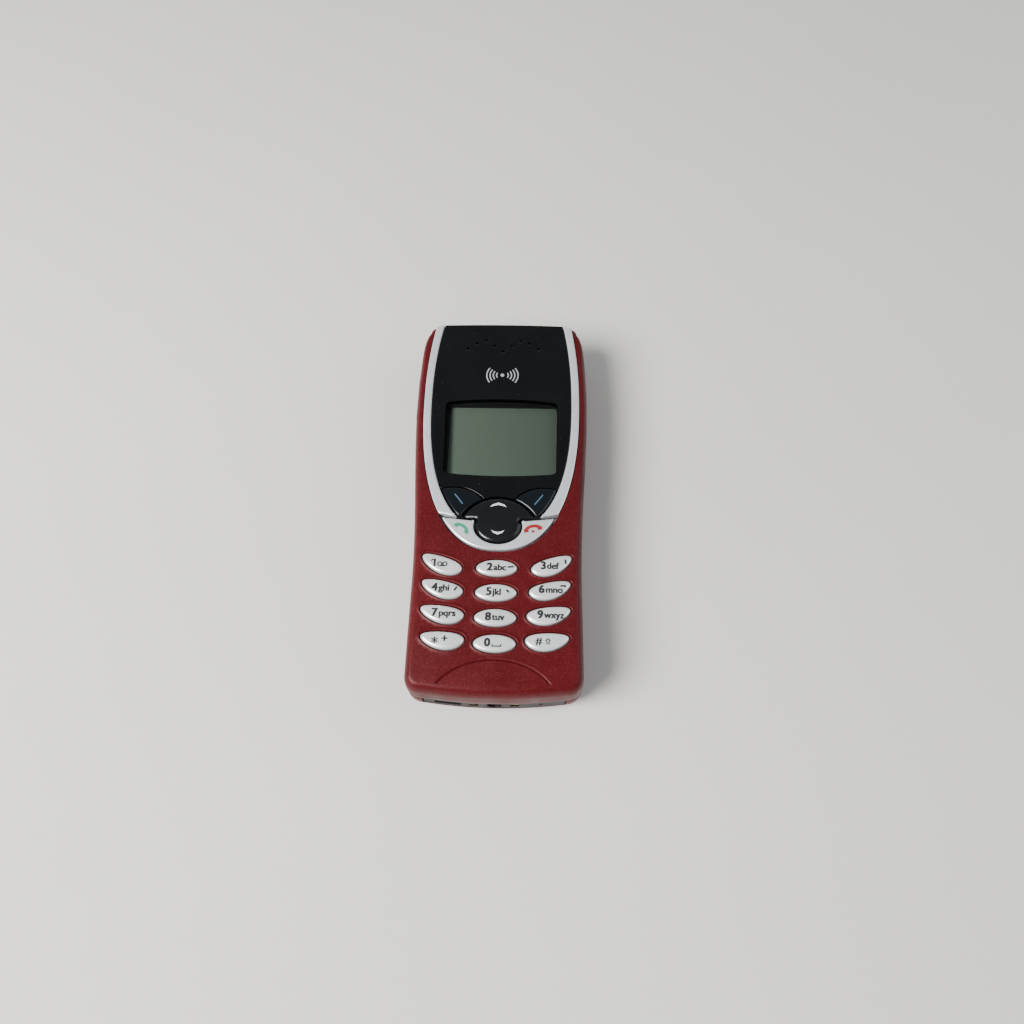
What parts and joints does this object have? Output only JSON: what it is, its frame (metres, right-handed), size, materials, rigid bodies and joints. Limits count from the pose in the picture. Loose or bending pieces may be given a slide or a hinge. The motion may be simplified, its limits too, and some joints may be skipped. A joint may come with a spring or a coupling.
{
  "type": "mobile phone",
  "caption": "Small candybar mobile phone with a waisted two-part clip-on cover, glossy display window, silver trims, rocker and soft keys, and oval number keys.",
  "frame": {"origin": "middle of the footprint, on the plane the back lies on", "axes": "+X to the right seen from the front, +Y towards the earpiece, +Z out of the display"},
  "size_m": [0.0444, 0.1014, 0.0174],
  "materials": {
    "red_cover": "lacquer with a fine metallic grain",
    "red_key": "satin",
    "red_catch": "satin",
    "silver_trim": "satin silver",
    "smoke_key": "clear gloss over smoke",
    "scroll_key": "gloss black",
    "silver_key": "satin silver paint",
    "key_caps": "satin silver paint",
    "clear_window": "clear gloss",
    "black_print": "printed behind the window",
    "mat_rubber": "matte",
    "dome_film": "film",
    "black_rubber": "matte",
    "dark_window": "gloss",
    "carrier_metal": "satin",
    "lcd_glass": "grey-green display",
    "black_plastic": "matte",
    "light_guide": "milky",
    "board": "solder mask",
    "shield_metal": "tinned",
    "weight_metal": "sintered",
    "contact_gold": "gold plate",
    "frame_plastic": "moulded",
    "screw_steel": "black zinc",
    "battery_wrap": "film wrap",
    "card_plastic": "satin",
    "connector_plastic": "fine moulded"
  },
  "bodies": {
    "phone": {"front_cover": "red_cover", "left_trim": "silver_trim", "right_trim": "silver_trim", "window_lens": "clear_window", "window_mask": "black_print", "keypad_mat": "mat_rubber", "dome_sheet": "dome_film", "infrared_window": "dark_window", "display_carrier": "carrier_metal", "lcd_panel": "lcd_glass", "lcd_bezel": "black_plastic", "light_guide": "light_guide", "ui_board": "board", "main_board": "board", "front_shield": "shield_metal", "rear_shield": "shield_metal", "earpiece": "black_plastic", "earpiece_gasket": "black_rubber", "buzzer": "black_plastic", "vibra_motor": "shield_metal", "microphone": "contact_gold", "rear_frame": "frame_plastic", "chassis_screws": "screw_steel", "antenna_carrier": "frame_plastic", "antenna_plate": "contact_gold", "battery": "battery_wrap", "battery_contacts": "contact_gold", "sim_holder": "shield_metal", "sim_card": "card_plastic", "bottom_connector": "connector_plastic", "charging_jack": "shield_metal", "charging_pads": "contact_gold", "accessory_contacts": "contact_gold"},
    "left_soft_key": {"left_soft_key": "smoke_key"},
    "right_soft_key": {"right_soft_key": "smoke_key"},
    "scroll_key": {"scroll_key": "scroll_key"},
    "call_end_key": {"call_end_key": "silver_key"},
    "key_1": {"key_1": "key_caps"},
    "key_2": {"key_2": "key_caps"},
    "key_3": {"key_3": "key_caps"},
    "key_4": {"key_4": "key_caps"},
    "key_5": {"key_5": "key_caps"},
    "key_6": {"key_6": "key_caps"},
    "key_7": {"key_7": "key_caps"},
    "key_8": {"key_8": "key_caps"},
    "key_9": {"key_9": "key_caps"},
    "key_star": {"key_star": "key_caps"},
    "key_0": {"key_0": "key_caps"},
    "key_hash": {"key_hash": "key_caps"},
    "power_key": {"power_key": "black_rubber"},
    "volume_key": {"volume_key": "red_key"},
    "vibra_weight": {"vibra_weight": "weight_metal"},
    "back_cover": {"back_cover": "red_cover"},
    "cover_catch": {"cover_catch": "red_catch"}
  },
  "joints": [
    {"name": "key_1_press", "type": "slide", "parent": "phone", "child": "key_1", "axis": [0, 0, -1], "range_m": [0, 0.00045], "stiffness_N_per_m": 800, "deforming": ["keypad_mat"]},
    {"name": "key_2_press", "type": "slide", "parent": "phone", "child": "key_2", "axis": [0, 0, -1], "range_m": [0, 0.00045], "stiffness_N_per_m": 800, "deforming": ["keypad_mat"]},
    {"name": "key_3_press", "type": "slide", "parent": "phone", "child": "key_3", "axis": [0, 0, -1], "range_m": [0, 0.00045], "stiffness_N_per_m": 800, "deforming": ["keypad_mat"]},
    {"name": "key_4_press", "type": "slide", "parent": "phone", "child": "key_4", "axis": [0, 0, -1], "range_m": [0, 0.00045], "stiffness_N_per_m": 800, "deforming": ["keypad_mat"]},
    {"name": "key_5_press", "type": "slide", "parent": "phone", "child": "key_5", "axis": [0, 0, -1], "range_m": [0, 0.00045], "stiffness_N_per_m": 800, "deforming": ["keypad_mat"]},
    {"name": "key_6_press", "type": "slide", "parent": "phone", "child": "key_6", "axis": [0, 0, -1], "range_m": [0, 0.00045], "stiffness_N_per_m": 800, "deforming": ["keypad_mat"]},
    {"name": "key_7_press", "type": "slide", "parent": "phone", "child": "key_7", "axis": [0, 0, -1], "range_m": [0, 0.00045], "stiffness_N_per_m": 800, "deforming": ["keypad_mat"]},
    {"name": "key_8_press", "type": "slide", "parent": "phone", "child": "key_8", "axis": [0, 0, -1], "range_m": [0, 0.00045], "stiffness_N_per_m": 800, "deforming": ["keypad_mat"]},
    {"name": "key_9_press", "type": "slide", "parent": "phone", "child": "key_9", "axis": [0, 0, -1], "range_m": [0, 0.00045], "stiffness_N_per_m": 800, "deforming": ["keypad_mat"]},
    {"name": "key_star_press", "type": "slide", "parent": "phone", "child": "key_star", "axis": [0, 0, -1], "range_m": [0, 0.00045], "stiffness_N_per_m": 800, "deforming": ["keypad_mat"]},
    {"name": "key_0_press", "type": "slide", "parent": "phone", "child": "key_0", "axis": [0, 0, -1], "range_m": [0, 0.00045], "stiffness_N_per_m": 800, "deforming": ["keypad_mat"]},
    {"name": "key_hash_press", "type": "slide", "parent": "phone", "child": "key_hash", "axis": [0, 0, -1], "range_m": [0, 0.00045], "stiffness_N_per_m": 800, "deforming": ["keypad_mat"]},
    {"name": "left_soft_key_press", "type": "slide", "parent": "phone", "child": "left_soft_key", "axis": [0, 0, -1], "range_m": [0, 0.0004], "stiffness_N_per_m": 800, "deforming": ["keypad_mat"]},
    {"name": "right_soft_key_press", "type": "slide", "parent": "phone", "child": "right_soft_key", "axis": [0, 0, -1], "range_m": [0, 0.0004], "stiffness_N_per_m": 800, "deforming": ["keypad_mat"]},
    {"name": "scroll_key_tilt", "type": "hinge", "parent": "phone", "child": "scroll_key", "pos_m": [0, -0.009, 0.0148], "axis": [1, 0, 0], "range_deg": [-2.2, 2.2], "stiffness_Nm_per_rad": 0.05, "deforming": ["keypad_mat"]},
    {"name": "call_end_key_tilt", "type": "hinge", "parent": "phone", "child": "call_end_key", "pos_m": [0, -0.011, 0.0142], "axis": [0, 1, 0], "range_deg": [-1.5, 1.5], "stiffness_Nm_per_rad": 0.08, "deforming": ["keypad_mat"]},
    {"name": "power_key_press", "type": "slide", "parent": "phone", "child": "power_key", "axis": [0, -1, 0], "range_m": [0, 0.0004], "stiffness_N_per_m": 700},
    {"name": "volume_key_rock", "type": "hinge", "parent": "phone", "child": "volume_key", "pos_m": [-0.0212, 0.028, 0.0115], "axis": [0, 0, 1], "range_deg": [-1.5, 1.5], "stiffness_Nm_per_rad": 0.05},
    {"name": "vibra_weight_spin", "type": "hinge", "parent": "phone", "child": "vibra_weight", "pos_m": [0.0143, 0.0433, 0.0118], "axis": [1, 0, 0], "continuous": true},
    {"name": "back_cover_slide", "type": "slide", "parent": "phone", "child": "back_cover", "axis": [0, -1, 0], "range_m": [0, 0.012]},
    {"name": "cover_catch_press", "type": "slide", "parent": "back_cover", "child": "cover_catch", "axis": [0, 0, 1], "range_m": [0, 0.0005], "stiffness_N_per_m": 600}
  ]
}
